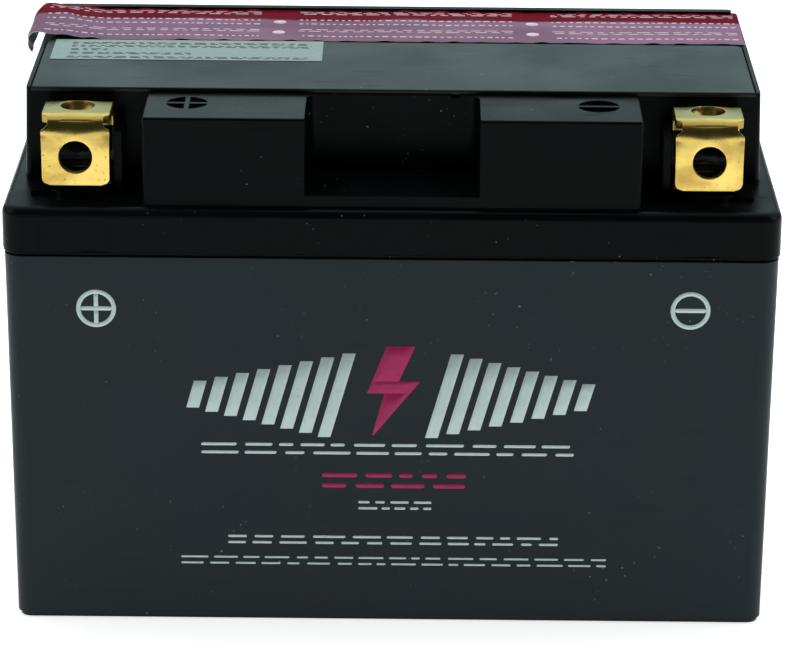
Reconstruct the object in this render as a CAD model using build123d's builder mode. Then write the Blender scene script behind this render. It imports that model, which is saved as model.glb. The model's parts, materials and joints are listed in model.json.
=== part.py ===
from build123d import *
import math
import os

# Sealed 12 V motorcycle battery, six cells in a row along X, millimetres.
# Origin: centre of the underside. +X runs to the negative end, the front (terminal) side faces -Y, +Z is up.

os.makedirs("parts", exist_ok=True)

# ---- driving dimensions -------------------------------------------------------------------------
length = 150.0
width = 87.0
case_height = 77.1          # underside to the weld seam under the lid's rim
rim_height = 8.8            # seam to the ledge round the deck
block_height = 17.6         # ledge to the top of the two polarity blocks
frame_rise = 0.7            # deck frame above the blocks, round the cover plate
rail_rise = 0.8             # rear rail above the deck frame

# case
case_inset = 0.3            # case face behind the lid's rim
case_draft = 0.5            # degrees
case_corner = 3.5
case_wall = 2.6
case_floor = 3.0
foot_inset = 0.6
foot_height = 0.9
seam_groove_height = 1.0
seam_groove_depth = 0.9
rest_rail_height = 2.0      # rails that the plates stand on
rest_rail_width = 3.0
rest_rail_spacing = 46.0

# cells
cell_count = 6
partition = 1.8
positive_count = 4          # positive plates in one cell; there is one more negative plate
positive_thickness = 1.9
negative_thickness = 1.4
cell_side_gap = 0.2
weld_drop = 4.2             # weld centre below the seam
plate_side_gap = 1.6
separator_overhang = 1.0    # glass mat beyond the plate at its top and both sides
lug_width = 9.0
lug_height = 4.0
strap_thickness = 4.0
strap_gap = 0.15            # strap end to the partition
tab_thickness = 2.4
tab_height = 8.0
weld_radius = 2.5
weld_clearance = 0.1

# lid
lid_corner = 4.0
rim_edge_radius = 1.8
ledge_thickness = 2.4
deck_wall = 2.2
deck_thickness = 4.2
deck_draft = 1.5            # degrees
deck_end_inset = 3.0
deck_back_inset = 6.2
deck_corner = 1.2
notch_depth = 19.8          # front of the rim to the wall behind the terminals
block_inner = 16.8          # centre line to a block's inner side
block_gap = 4.38            # a block's outer side to the rib beside the terminal
block_front_inset = 2.2
block_corner = 0.8
block_edge_radius = 0.5
pocket_depth = 16.9         # block front to the wall of the centre pocket
pocket_floor_rise = 2.3
pocket_corner = 2.4
emblem_radius = 4.0
emblem_depth = 0.7
emblem_bar = 1.0
emblem_x = 39.7
emblem_back = 10.4          # block front to the emblem's centre
witness_width = 14.0        # shallow tool mark on the rim under each terminal
witness_height = 6.4
witness_depth = 0.12

# filler channel and ports
channel_front = 10.9        # front edge of the sealed strip, from the centre line
land_width = 1.6
rail_width = 2.0
channel_depth = 2.8
port_radius = 5.0
collar_wall = 2.0
channel_end = 2.4

# cover plate over the gas manifold
cover_thickness = 0.9
cover_end_gap = 1.0
cover_corner = 2.0
cover_edge_radius = 0.35
cover_gap = 0.2
manifold_depth = 1.5
manifold_width = 3.0
manifold_y = -5.0
vent_radius = 0.8
exhaust_width = 1.6
exhaust_depth = 0.5

# relief valve
valve_y = -13.5
well_radius = 6.0
well_depth = 8.0
well_wall = 1.2
seat_radius = 2.5
seat_bore = 1.2
seat_height = 4.0
cap_radius = 4.2
cap_clearance = 0.2
cap_top = 1.3
cap_skirt = 2.6
cap_edge_radius = 0.4
valve_lift_gap = 1.1
filter_radius = 6.8
filter_clearance = 0.1

# terminals
terminal_width = 13.0
terminal_thickness = 1.8
terminal_front = 5.5        # front of the rim to the terminal's front face
terminal_back_gap = 0.6
terminal_top = 102.5
terminal_bend = 3.6
terminal_hole = 3.25        # radius: 6.5 mm across, for an M6 bolt
front_hole_height = 94.5
top_hole_back = 7.6         # front face to the centre of the top hole
terminal_corner = 1.3
relief_depth = 1.1
relief_height = 2.4         # waist of the strip where it bends
foot_length = 10.0
post_radius = 4.2
post_rise = 1.1             # post above the ledge
bushing_wall = 2.2
bushing_clearance = 0.1
bushing_drop = 1.0
pad_length = 11.6
pad_height = 0.9
pad_inset = 2.2             # deck's end to the resin's outer edge
rib_thickness = 1.6         # upright rib on the inner side of each terminal
rib_gap = 0.5
rib_reach = 9.6
rib_height = 12.3

# foil seal and label
foil_edge_gap = 0.2         # foil's edges inside the sealed strip's edges
foil_thickness = 0.25
foil_gap = 0.15
foil_right_inset = 0.3
tail_start = 14.0           # from the deck's end to where the foil leaves the deck
tail_rise = 1.1
tail_radius = 2.3
tail_turn = 140.0           # degrees of curl
tail_reach = 2.7            # beyond the deck's end
label_length = 54.3
label_width = 14.6
label_end_gap = 1.8
label_thickness = 0.1

# ---- places worked out from the dimensions ------------------------------------------------------
front = -width / 2
ledge = case_height + rim_height
block_top = ledge + block_height
frame_top = block_top + frame_rise
lid_ceiling = frame_top - deck_thickness

deck_half = length / 2 - deck_end_inset
deck_back = width / 2 - deck_back_inset
deck_front = front + notch_depth
block_front = front + block_front_inset
pocket_back = block_front + pocket_depth
block_rear = deck_front + deck_wall
deck_run = (frame_top - ledge) * math.tan(math.radians(deck_draft))
frame_half = deck_half - deck_run
rail_y = deck_back - deck_run - rail_width / 2
cover_half = frame_half - cover_end_gap
cover_back = channel_front - cover_gap

case_top_length = length - 2 * case_inset
case_top_width = width - 2 * case_inset
inner_length = case_top_length - 2 * case_wall
inner_width = case_top_width - 2 * case_wall
cell_length = (inner_length - (cell_count - 1) * partition) / cell_count
cell_pitch = cell_length + partition
cell_x = [(i - (cell_count - 1) / 2) * cell_pitch for i in range(cell_count)]
partition_x = [(a + b) / 2 for a, b in zip(cell_x, cell_x[1:])]

negative_count = positive_count + 1
separator_count = 2 * positive_count
stack_length = cell_length - 2 * cell_side_gap
separator_thickness = (
    stack_length - positive_count * positive_thickness - negative_count * negative_thickness
) / separator_count
plate_pitch = positive_thickness + negative_thickness + 2 * separator_thickness
plate_width = inner_width - 2 * plate_side_gap - 2 * separator_overhang
plate_foot = case_floor + rest_rail_height
weld_height = case_height - weld_drop
strap_head = weld_height - tab_height / 2
strap_foot = strap_head - strap_thickness
plate_head = strap_foot - lug_height
plate_height = plate_head - plate_foot

terminal_x = cell_x[-1]
terminal_face = front + terminal_front
terminal_rear = deck_front - terminal_back_gap
post_y = terminal_face + top_hole_back
post_head = ledge + post_rise
foot_top = post_head + terminal_thickness
rib_x = terminal_x - terminal_width / 2 - rib_gap - rib_thickness / 2
block_outer = rib_x - rib_thickness / 2 - block_gap
pad_inner = rib_x + rib_thickness / 2
pad_outer = deck_half - pad_inset

channel_back = rail_y - rail_width / 2
channel_y = (channel_front + channel_back) / 2
channel_span = channel_back - channel_front
foil_width = channel_span - 2 * foil_edge_gap
port_places = [(x, channel_y) for x in cell_x]
valve_x = cell_x[cell_count // 2]
well_floor = block_top - well_depth
seat_top = well_floor + seat_height
filter_seat = seat_top + cap_top + valve_lift_gap


def save(builder, name):
    """Labels a finished piece and writes it to its own STEP file."""
    builder.part.label = name
    export_step(builder.part, f"parts/{name}.step")


def side_of(cell, pole):
    """Side of the cell, -1 front or +1 rear, on which a pole's plates are joined. It alternates."""
    front_side = (cell % 2 == 0) == (pole == "positive")
    return -1 if front_side else 1


# ---- case: tapered box with five partitions, a foot step and a weld seam groove -----------------
case_top = case_height - seam_groove_height
with BuildPart() as case:
    with BuildSketch(Plane.XY.offset(case_top)):
        RectangleRounded(case_top_length, case_top_width, case_corner)
    extrude(amount=-(case_top - foot_height), taper=case_draft)
    foot_face = case.faces().sort_by(Axis.Z)[0]
    with BuildSketch(Plane.XY.offset(foot_height)):
        add(foot_face.moved(Location((0, 0, -foot_height))))
        offset(amount=-foot_inset)
    extrude(amount=-foot_height)
    with BuildSketch(Plane.XY.offset(case_top)):
        RectangleRounded(
            case_top_length - 2 * seam_groove_depth,
            case_top_width - 2 * seam_groove_depth,
            case_corner - seam_groove_depth,
        )
    extrude(amount=seam_groove_height)
    with BuildSketch(Plane.XY.offset(case_floor)):
        with Locations([(x, 0) for x in cell_x]):
            Rectangle(cell_length, inner_width)
    extrude(amount=case_height - case_floor, mode=Mode.SUBTRACT)
    with BuildSketch(Plane.XY.offset(case_floor)):
        with GridLocations(cell_pitch, rest_rail_spacing, cell_count, 2):
            Rectangle(cell_length, rest_rail_width)
    extrude(amount=rest_rail_height)
    for index, x in enumerate(partition_x):
        weld_y = side_of(index, "negative") * abs(post_y)
        with BuildSketch(Plane.YZ.offset(x - partition / 2)):
            with Locations((weld_y, weld_height)):
                Circle(weld_radius + weld_clearance)
        extrude(amount=partition, mode=Mode.SUBTRACT)
save(case, "case")

# ---- lid: rim, ledge, deck, polarity blocks, pocket, terminal notches, filler channel -----------
with BuildPart() as lid:
    with BuildSketch(Plane.XY.offset(case_height)):
        RectangleRounded(length, width, lid_corner)
    extrude(amount=rim_height)
    fillet(lid.faces().sort_by(Axis.Z)[-1].edges(), rim_edge_radius)

    # deck with its frame and rear rail
    with BuildSketch(Plane.XY.offset(ledge)):
        with Locations((0, (deck_front + deck_back) / 2)):
            RectangleRounded(2 * deck_half, deck_back - deck_front, deck_corner)
    extrude(amount=frame_top - ledge, taper=deck_draft)
    with BuildSketch(Plane.XY.offset(frame_top)):
        with Locations((0, rail_y)):
            SlotOverall(2 * frame_half - 2 * deck_corner, rail_width)
    extrude(amount=rail_rise)

    # polarity blocks, with the pocket between them cut down to its raised floor
    with BuildSketch(Plane.XY.offset(ledge)):
        with Locations((0, (block_front + block_rear) / 2)):
            RectangleRounded(2 * block_outer, block_rear - block_front, block_corner)
    extrude(amount=block_height)
    with BuildSketch(Plane.XY.offset(ledge + pocket_floor_rise)):
        with Locations((0, pocket_back - pocket_depth / 2 - pocket_corner)):
            RectangleRounded(2 * block_inner, pocket_depth + 2 * pocket_corner, pocket_corner)
    extrude(amount=block_height, mode=Mode.SUBTRACT)
    block_front_edges = (
        lid.edges()
        .filter_by(Axis.X)
        .filter_by_position(Axis.Z, block_top - 0.01, block_top + 0.01)
        .filter_by_position(Axis.Y, block_front - 0.01, block_front + 0.01)
    )
    fillet(block_front_edges, block_edge_radius)

    # upright rib on the inner side of each terminal
    with BuildSketch(Plane.XY.offset(ledge)):
        with Locations([(s * rib_x, deck_front - rib_reach / 2 + deck_wall / 2) for s in (-1, 1)]):
            Rectangle(rib_thickness, rib_reach + deck_wall)
    extrude(amount=rib_height)

    # space for the gas over each cell, with the cell walls left standing
    with BuildSketch(Plane.XY.offset(case_height)):
        with Locations([(x, 0) for x in cell_x]):
            Rectangle(cell_length, inner_width)
    extrude(amount=rim_height - ledge_thickness, mode=Mode.SUBTRACT)
    with BuildSketch(Plane.XY.offset(ledge - ledge_thickness)):
        with Locations((0, (deck_front + deck_back) / 2)):
            Rectangle(2 * (deck_half - deck_wall), deck_back - deck_front - 2 * deck_wall)
        block_space_y = (block_front + block_rear) / 2 + deck_wall
        with Locations([(s * (block_inner + block_outer) / 2, block_space_y) for s in (-1, 1)]):
            Rectangle(block_outer - block_inner - 2 * deck_wall, block_rear - block_front)
        with Locations([(x, 0) for x in partition_x]):
            Rectangle(partition, width, mode=Mode.SUBTRACT)
    extrude(amount=lid_ceiling - ledge + ledge_thickness, mode=Mode.SUBTRACT)

    # shallow seat for the cover plate, open at the front
    with BuildSketch(Plane.XY.offset(block_top)):
        with Locations((0, (deck_front - cover_corner + channel_front) / 2)):
            RectangleRounded(
                2 * (cover_half + cover_gap), channel_front - deck_front + cover_corner, cover_corner
            )
    extrude(amount=frame_rise, mode=Mode.SUBTRACT)

    # filler channel with six collared ports
    with BuildSketch(Plane.XY.offset(frame_top)):
        with Locations((0, channel_y)):
            RectangleRounded(
                2 * (frame_half - channel_end), channel_span - 2 * land_width, cover_corner
            )
        with Locations(port_places):
            Circle(port_radius + collar_wall, mode=Mode.SUBTRACT)
    extrude(amount=-channel_depth, mode=Mode.SUBTRACT)
    with Locations([(x, y, frame_top) for x, y in port_places]):
        Hole(port_radius, depth=deck_thickness)

    # gas manifold under the cover plate, with a vent into each cell
    with BuildSketch(Plane.XY.offset(block_top)):
        with Locations((0, manifold_y)):
            SlotOverall(cell_x[-1] - cell_x[0] + 2 * manifold_width, manifold_width)
    extrude(amount=-manifold_depth, mode=Mode.SUBTRACT)
    with Locations([(x, manifold_y, block_top) for x in cell_x]):
        Hole(vent_radius, depth=block_top - lid_ceiling)

    # exhaust groove from the valve well to the deck's front edge
    with BuildSketch(Plane.XY.offset(block_top)):
        with Locations((valve_x, (pocket_back + valve_y) / 2)):
            Rectangle(exhaust_width, valve_y - pocket_back)
    extrude(amount=-exhaust_depth, mode=Mode.SUBTRACT)

    # valve well: a cup under the deck with the valve's seat tube standing in it
    with BuildSketch(Plane.XY.offset(well_floor - well_wall)):
        with Locations((valve_x, valve_y)):
            Circle(well_radius + well_wall)
    extrude(amount=lid_ceiling - well_floor + well_wall)
    with BuildSketch(Plane.XY.offset(well_floor)):
        with Locations((valve_x, valve_y)):
            Circle(well_radius)
            Circle(seat_radius, mode=Mode.SUBTRACT)
    extrude(amount=seat_height, mode=Mode.SUBTRACT)
    with BuildSketch(Plane.XY.offset(seat_top)):
        with Locations((valve_x, valve_y)):
            Circle(well_radius)
    extrude(amount=block_top - seat_top, mode=Mode.SUBTRACT)
    with BuildSketch(Plane.XY.offset(filter_seat)):
        with Locations((valve_x, valve_y)):
            Circle(filter_radius + filter_clearance)
    extrude(amount=block_top - filter_seat, mode=Mode.SUBTRACT)
    with Locations((valve_x, valve_y, seat_top)):
        Hole(seat_bore, depth=seat_height + well_wall)

    # emblems in the block tops: a round recess with a cross or a bar left standing
    for side in (-1, 1):
        with BuildSketch(Plane.XY.offset(block_top)):
            with Locations((side * emblem_x, block_front + emblem_back)):
                Circle(emblem_radius)
                Rectangle(2 * emblem_radius, emblem_bar, mode=Mode.SUBTRACT)
                if side < 0:
                    Rectangle(emblem_bar, 2 * emblem_radius, mode=Mode.SUBTRACT)
        extrude(amount=-emblem_depth, mode=Mode.SUBTRACT)

    # holes for the terminal bushings, and the tool marks on the rim below them
    with Locations([(s * terminal_x, post_y, ledge) for s in (-1, 1)]):
        Hole(post_radius + bushing_wall + bushing_clearance, depth=ledge_thickness + bushing_drop)
    with BuildSketch(Plane.XZ.offset(width / 2 - witness_depth)):
        with Locations([(s * terminal_x, case_height + witness_height / 2) for s in (-1, 1)]):
            Rectangle(witness_width, witness_height)
    extrude(amount=witness_depth, mode=Mode.SUBTRACT)
save(lid, "lid")

# ---- cover plate over the gas manifold -----------------------------------------------------------
with BuildPart() as cover_plate:
    with BuildSketch(Plane.XY.offset(block_top)):
        with Locations((0, (deck_front + cover_back) / 2)):
            RectangleRounded(2 * cover_half, cover_back - deck_front, cover_corner)
        with Locations((0, deck_front + cover_corner)):
            Rectangle(2 * cover_half, 2 * cover_corner)
    extrude(amount=cover_thickness)
    fillet(cover_plate.faces().sort_by(Axis.Z)[-1].edges(), cover_edge_radius)
save(cover_plate, "cover_plate")

# ---- relief valve: rubber cap on the seat tube, filter disc above it -----------------------------
with BuildPart() as valve_cap:
    with BuildSketch(Plane.XY.offset(seat_top - cap_skirt)):
        with Locations((valve_x, valve_y)):
            Circle(cap_radius)
    extrude(amount=cap_skirt + cap_top)
    fillet(valve_cap.faces().sort_by(Axis.Z)[-1].edges(), cap_edge_radius)
    with BuildSketch(Plane.XY.offset(seat_top - cap_skirt)):
        with Locations((valve_x, valve_y)):
            Circle(seat_radius + cap_clearance)
    extrude(amount=cap_skirt, mode=Mode.SUBTRACT)
save(valve_cap, "relief_valve_cap")

with BuildPart() as filter_disc:
    with BuildSketch(Plane.XY.offset(filter_seat)):
        with Locations((valve_x, valve_y)):
            Circle(filter_radius)
    extrude(amount=block_top - filter_seat)
save(filter_disc, "vent_filter_disc")

# ---- terminals: bent brass strips with a front leg, a top, a rear leg and a foot on the post -----
strip_height = terminal_top - post_head
strip_depth = terminal_rear - terminal_face
for pole, side in (("positive", -1), ("negative", 1)):
    centre = side * terminal_x
    with BuildPart() as terminal:
        with BuildSketch(Plane.YZ.offset(centre - terminal_width / 2)):
            with Locations(((terminal_face + terminal_rear) / 2, (terminal_top + post_head) / 2)):
                RectangleRounded(strip_depth, strip_height, terminal_bend)
                RectangleRounded(
                    strip_depth - 2 * terminal_thickness,
                    strip_height - 2 * terminal_thickness,
                    terminal_bend - terminal_thickness,
                    mode=Mode.SUBTRACT,
                )
            with Locations((terminal_rear - foot_length, foot_top + terminal_bend)):
                Rectangle(
                    strip_depth, strip_height, align=(Align.MAX, Align.MAX), mode=Mode.SUBTRACT
                )
            with Locations((terminal_face, foot_top)):
                Rectangle(terminal_thickness, terminal_bend, align=(Align.MIN, Align.MIN))
        extrude(amount=terminal_width)
        with BuildSketch(Plane.XZ.offset(-terminal_face)):
            with Locations((centre, front_hole_height)):
                Circle(terminal_hole)
        extrude(amount=-terminal_thickness, mode=Mode.SUBTRACT)
        with BuildSketch(Plane.XZ.offset(-terminal_face)):
            with Locations([(centre + s * terminal_width / 2, terminal_top) for s in (-1, 1)]):
                RectangleRounded(2 * relief_depth, 2 * relief_height, relief_depth / 2)
        extrude(amount=-terminal_bend, mode=Mode.SUBTRACT)
        with Locations((centre, post_y, terminal_top)):
            Hole(terminal_hole, depth=terminal_thickness)
        lower_corners = (
            terminal.edges()
            .filter_by(Axis.Y)
            .filter_by_position(Axis.Z, foot_top - 0.01, foot_top + 0.01)
            .filter_by_position(Axis.Y, terminal_face, terminal_face + terminal_thickness)
        )
        fillet(lower_corners, terminal_corner)
    save(terminal, f"{pole}_terminal")

    with BuildPart() as post:
        with BuildSketch(Plane.XY.offset(strap_head)):
            with Locations((centre, post_y)):
                Circle(post_radius)
        extrude(amount=post_head - strap_head)
    save(post, f"{pole}_post")

    with BuildPart() as bushing:
        with BuildSketch(Plane.XY.offset(ledge - ledge_thickness - bushing_drop)):
            with Locations((centre, post_y)):
                Circle(post_radius + bushing_wall)
                Circle(post_radius + bushing_clearance, mode=Mode.SUBTRACT)
        extrude(amount=post_head - ledge + ledge_thickness + bushing_drop)
    save(bushing, f"{pole}_bushing")

    with BuildPart() as pad:
        with BuildSketch(Plane.XY.offset(ledge)):
            with Locations((side * (pad_inner + pad_outer) / 2, deck_front - pad_length / 2)):
                Rectangle(pad_outer - pad_inner, pad_length)
            with Locations((centre, post_y)):
                Circle(post_radius + bushing_wall + bushing_clearance, mode=Mode.SUBTRACT)
        extrude(amount=pad_height)
    save(pad, f"{pole}_resin_seal")

# ---- plate stacks, straps and welds, cell by cell ------------------------------------------------
first_negative = (negative_thickness - stack_length) / 2
first_positive = first_negative + plate_pitch / 2
separator_offset = (positive_thickness + separator_thickness) / 2
for index, x in enumerate(cell_x):
    number = index + 1
    negative_x = [x + first_negative + i * plate_pitch for i in range(negative_count)]
    positive_x = [x + first_positive + i * plate_pitch for i in range(positive_count)]
    stack = (
        ("negative", negative_x, negative_thickness),
        ("positive", positive_x, positive_thickness),
    )
    for pole, places, thickness in stack:
        pole_side = side_of(index, pole)
        with BuildPart() as plates:
            with BuildSketch(Plane.XY.offset(plate_foot)):
                with Locations([(place, 0) for place in places]):
                    Rectangle(thickness, plate_width)
            extrude(amount=plate_height)
            with BuildSketch(Plane.XY.offset(plate_head)):
                with Locations([(place, pole_side * abs(post_y)) for place in places]):
                    Rectangle(thickness, lug_width)
            extrude(amount=lug_height)
        save(plates, f"{pole}_plates_{number}")

        at_end = index == (0 if pole == "positive" else cell_count - 1)
        reach = -1 if pole == "positive" else 1
        low = places[0] - thickness / 2
        high = places[-1] + thickness / 2
        wall = x + reach * (cell_length / 2 - strap_gap)
        if not at_end:
            low, high = min(low, wall), max(high, wall)
        with BuildPart() as strap:
            with BuildSketch(Plane.XY.offset(strap_foot)):
                with Locations(((low + high) / 2, pole_side * abs(post_y))):
                    Rectangle(high - low, lug_width)
            extrude(amount=strap_thickness)
            if not at_end:
                with BuildSketch(Plane.XY.offset(strap_head)):
                    with Locations((wall - reach * tab_thickness / 2, pole_side * abs(post_y))):
                        Rectangle(tab_thickness, lug_width)
                extrude(amount=tab_height)
        save(strap, f"{pole}_strap_{number}")

    with BuildPart() as separators:
        with BuildSketch(Plane.XY.offset(plate_foot)):
            with Locations(
                [(place + s * separator_offset, 0) for place in positive_x for s in (-1, 1)]
            ):
                Rectangle(separator_thickness, plate_width + 2 * separator_overhang)
        extrude(amount=plate_height + separator_overhang)
    save(separators, f"glass_mat_separators_{number}")

for index, x in enumerate(partition_x):
    weld_y = side_of(index, "negative") * abs(post_y)
    with BuildPart() as weld:
        with BuildSketch(Plane.YZ.offset(x - partition / 2 - strap_gap)):
            with Locations((weld_y, weld_height)):
                Circle(weld_radius)
        extrude(amount=partition + 2 * strap_gap)
    save(weld, f"intercell_weld_{index + 1}")

# ---- foil strip over the filler ports, its left tail lifted and curled down over the end ---------
foil_middle = frame_top + foil_gap + foil_thickness / 2
with BuildPart() as foil_seal:
    with BuildSketch(Plane.XZ.offset(foil_edge_gap - channel_back)):
        with BuildLine():
            flat = Line(
                (frame_half - foil_right_inset, foil_middle), (tail_start - deck_half, foil_middle)
            )
            curl_top = (tail_radius - deck_half - tail_reach, foil_middle + tail_rise)
            Spline(flat @ 1, curl_top, tangents=((-1, 0), (-1, 0)))
            CenterArc((curl_top[0], curl_top[1] - tail_radius), tail_radius, 90, tail_turn)
        trace(line_width=foil_thickness)
    extrude(amount=foil_width)
save(foil_seal, "foil_seal")

# ---- paper label on the cover plate --------------------------------------------------------------
with BuildPart() as top_label:
    with BuildSketch(Plane.XY.offset(block_top + cover_thickness)):
        with Locations(
            (label_end_gap + label_length / 2 - cover_half, cover_back - cover_gap - label_width / 2)
        ):
            Rectangle(label_length, label_width)
    extrude(amount=label_thickness)
save(top_label, "top_label")
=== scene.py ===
import json
import math

import bpy
import numpy as np
from bpy.props import FloatProperty, FloatVectorProperty, IntProperty, PointerProperty
from mathutils import Matrix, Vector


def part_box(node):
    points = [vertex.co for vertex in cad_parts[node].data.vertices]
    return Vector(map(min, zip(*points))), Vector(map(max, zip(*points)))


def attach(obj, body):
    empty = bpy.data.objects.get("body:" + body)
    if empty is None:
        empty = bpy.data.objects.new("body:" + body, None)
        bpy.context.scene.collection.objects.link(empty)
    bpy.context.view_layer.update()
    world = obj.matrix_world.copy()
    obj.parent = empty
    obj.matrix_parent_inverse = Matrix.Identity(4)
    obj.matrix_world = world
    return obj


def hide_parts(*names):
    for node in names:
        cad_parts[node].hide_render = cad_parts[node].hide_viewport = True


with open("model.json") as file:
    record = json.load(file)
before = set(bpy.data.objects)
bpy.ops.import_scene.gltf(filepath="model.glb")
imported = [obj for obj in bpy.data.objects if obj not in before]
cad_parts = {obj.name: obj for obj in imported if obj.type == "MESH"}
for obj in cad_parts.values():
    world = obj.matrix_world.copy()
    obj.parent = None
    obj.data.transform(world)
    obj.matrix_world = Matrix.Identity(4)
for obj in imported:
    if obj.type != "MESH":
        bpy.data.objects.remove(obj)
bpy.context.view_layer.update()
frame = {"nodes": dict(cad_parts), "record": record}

bl_info = {
    "name": "Sealed Motorcycle Battery",
    "version": (1, 0, 0),
    "blender": (4, 5, 0),
    "location": "3D Viewport > Sidebar > Battery",
    "description": "Makes the visible pieces and finishes of a sealed 12 V motorcycle battery",
    "category": "Add Mesh",
}

MM = 0.001
MOUNTS = {mount["name"]: mount for mount in frame["record"]["mounts"]}
POLES = ("positive", "negative")


def linear(code):
    """Turns an sRGB hex colour into linear red, green and blue."""
    values = np.array([int(code[i:i + 2], 16) for i in (0, 2, 4)]) / 255
    low, high = values / 12.92, ((values + 0.055) / 1.055) ** 2.4
    return tuple(np.where(values <= 0.04045, low, high).tolist())


def length(name, description, millimetres):
    """A length that a user can change, given in millimetres and kept in metres."""
    return FloatProperty(
        name=name, description=description, default=millimetres * MM, unit="LENGTH", precision=5
    )


def colour(name, description, code):
    """A colour that a user can change, given as sRGB hex."""
    return FloatVectorProperty(
        name=name, description=description, default=linear(code), subtype="COLOR", min=0, max=1
    )


# ---- settings ------------------------------------------------------------------------------------
class HousingSettings(bpy.types.PropertyGroup):
    case_colour: colour("Case", "Black polypropylene of the case", "132025")
    lid_colour: colour("Lid", "Black polypropylene of the lid", "050809")
    cover_colour: colour("Cover plate", "Black polypropylene of the cover plate", "0f1a1b")
    grain: length("Grain", "Width of the mould's fine texture", 0.5)
    edge: length("Edge radius", "Radius that the mould leaves on sharp edges", 0.25)
    flash: length("Weld flash", "Radius of the plastic squeezed out of the welded seam", 0.3)


class TerminalSettings(bpy.types.PropertyGroup):
    thickness: length("Thickness", "Thickness of the brass strip", 1.8)
    bend: length("Bend radius", "Outer radius of each bend", 3.6)
    corner: length("Corner radius", "Radius of the front leg's lower corners", 1.5)
    waist: length("Waist depth", "Depth of the notch on each side of the front bend", 1.2)
    waist_drop: length("Waist drop", "Strip's top to the notch's lower end", 2.5)
    dish: length("Dish", "Height of the rim that punching raises round a hole", 0.16)
    shoulder: length("Shoulder", "How far the front leg's shoulders are drawn back by the bend", 0.45)
    burr: length("Edge round", "Radius of the tumbled edges", 0.28)
    # painted shade: below this bare part the rear leg and foot get the black resin finish, for the dark inside of the
    # terminal
    bare: length("Bare leg", "Upper part of the rear leg that the resin leaves bare", 1.5)
    brass: colour("Brass", "Clean brass", "e6c56c")
    tarnish: colour("Tarnish", "Handled and tarnished brass", "a8843a")


class FoilSettings(bpy.types.PropertyGroup):
    thickness: length("Thickness", "Thickness of the foil laminate", 0.12)
    curl: length("Curl radius", "Radius of the curled tail", 2.3)
    curl_turn: FloatProperty(
        name="Curl", description="How far the tail curls", default=math.radians(140), subtype="ANGLE"
    )
    tail: length("Tail", "Lifted part of the foil before the curl", 14.4)
    rise: length("Rise", "Height of the tail above the flat foil", 1.1)
    wrinkle: length("Wrinkle", "Height of the creases along the edges", 0.16)
    pillow: length("Pillow", "Height to which the foil bulges before it meets the rear rail", 0.45)
    colour: colour("Foil colour", "Crimson lacquer on the foil's rear band", "6d0a1e")
    # painted reflection: the clear film's mauve sheen, painted into the colour of the foil's front part
    painted_sheen_mauve: colour("Veiled foil", "Crimson lacquer where the clear film veils it", "96728b")
    print_colour: colour("Print", "White print on the foil", "e4ccd6")


class PrintSettings(bpy.types.PropertyGroup):
    draft: FloatProperty(
        name="Draft", description="Slope of the case's sides", default=math.radians(0.5), subtype="ANGLE"
    )
    ink: length("Ink", "Thickness of the printed ink", 0.03)
    pale: colour("Pale ink", "Pale grey ink of the front print", "bfd0ce")
    crimson: colour("Crimson ink", "Crimson ink of the front print", "a32056")


class LabelSettings(bpy.types.PropertyGroup):
    ink: length("Ink", "Thickness of the printed ink", 0.02)
    paper: colour("Paper", "Coated paper of the label", "93a2a0")
    text: colour("Text", "Grey ink of the label", "2c3535")


class StageSettings(bpy.types.PropertyGroup):
    lens: FloatProperty(name="Lens", description="Focal length in mm", default=166.32)
    pitch: FloatProperty(
        name="Pitch", description="Camera tilt below the horizon", default=math.radians(19.836), subtype="ANGLE"
    )
    yaw: FloatProperty(
        name="Yaw", description="Camera turn about the vertical", default=math.radians(0.186), subtype="ANGLE"
    )
    roll: FloatProperty(
        name="Roll", description="Camera turn about its line of sight", default=math.radians(-0.472), subtype="ANGLE"
    )
    place: FloatVectorProperty(
        name="Place", description="Camera place", default=(0.003924, -0.7155, 0.3051), subtype="TRANSLATION"
    )
    floor: colour("Floor", "Pale studio floor", "f4f4f3")
    glow: FloatProperty(name="Floor glow", description="Light that comes through the floor from below", default=0.62)


SETTINGS = {
    "battery_housing": HousingSettings,
    "battery_terminals": TerminalSettings,
    "battery_foil": FoilSettings,
    "battery_print": PrintSettings,
    "battery_label": LabelSettings,
    "battery_stage": StageSettings,
}


# ---- meshes --------------------------------------------------------------------------------------
def grid_faces(rows, columns, closed=False):
    """Quads of a grid of points kept row by row: each joins a point to its right and lower neighbours.
    In a closed grid the last row joins the first."""
    last = rows if closed else rows - 1
    i, j = np.meshgrid(np.arange(last), np.arange(columns - 1), indexing="ij")
    a, b = i * columns + j, (i + 1) % rows * columns + j
    return np.stack([a, b, b + 1, a + 1], -1).reshape(-1, 4)


def make_piece(name, grids, material, body):
    """Makes one mesh of several grids of points, welds the points that they share, and lets it ride on a body.
    A grid is (points by row and column, whether its last row joins its first)."""
    points, faces, start = [], [], 0
    for grid, closed in grids:
        rows, columns = grid.shape[:2]
        points.append(grid.reshape(-1, 3))
        faces.append(grid_faces(rows, columns, closed) + start)
        start += rows * columns
    mesh = bpy.data.meshes.new(name)
    mesh.from_pydata(np.concatenate(points).tolist(), [], np.concatenate(faces).tolist())
    mesh.polygons.foreach_set("use_smooth", np.ones(len(mesh.polygons), bool))
    mesh.materials.append(material)
    piece = bpy.data.objects.new(name, mesh)
    bpy.context.scene.collection.objects.link(piece)
    weld = piece.modifiers.new("weld", "WELD")
    weld.merge_threshold = 0.001 * MM
    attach(piece, body)
    return piece


def thicken(piece, thickness, offset, inner_material=0):
    """Gives a surface its wall. Offset -1 adds it behind, 0 on both sides and 1 in front."""
    wall = piece.modifiers.new("wall", "SOLIDIFY")
    wall.thickness, wall.offset = thickness, offset
    wall.use_even_offset = True
    wall.material_offset = inner_material
    wall.material_offset_rim = inner_material


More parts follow.
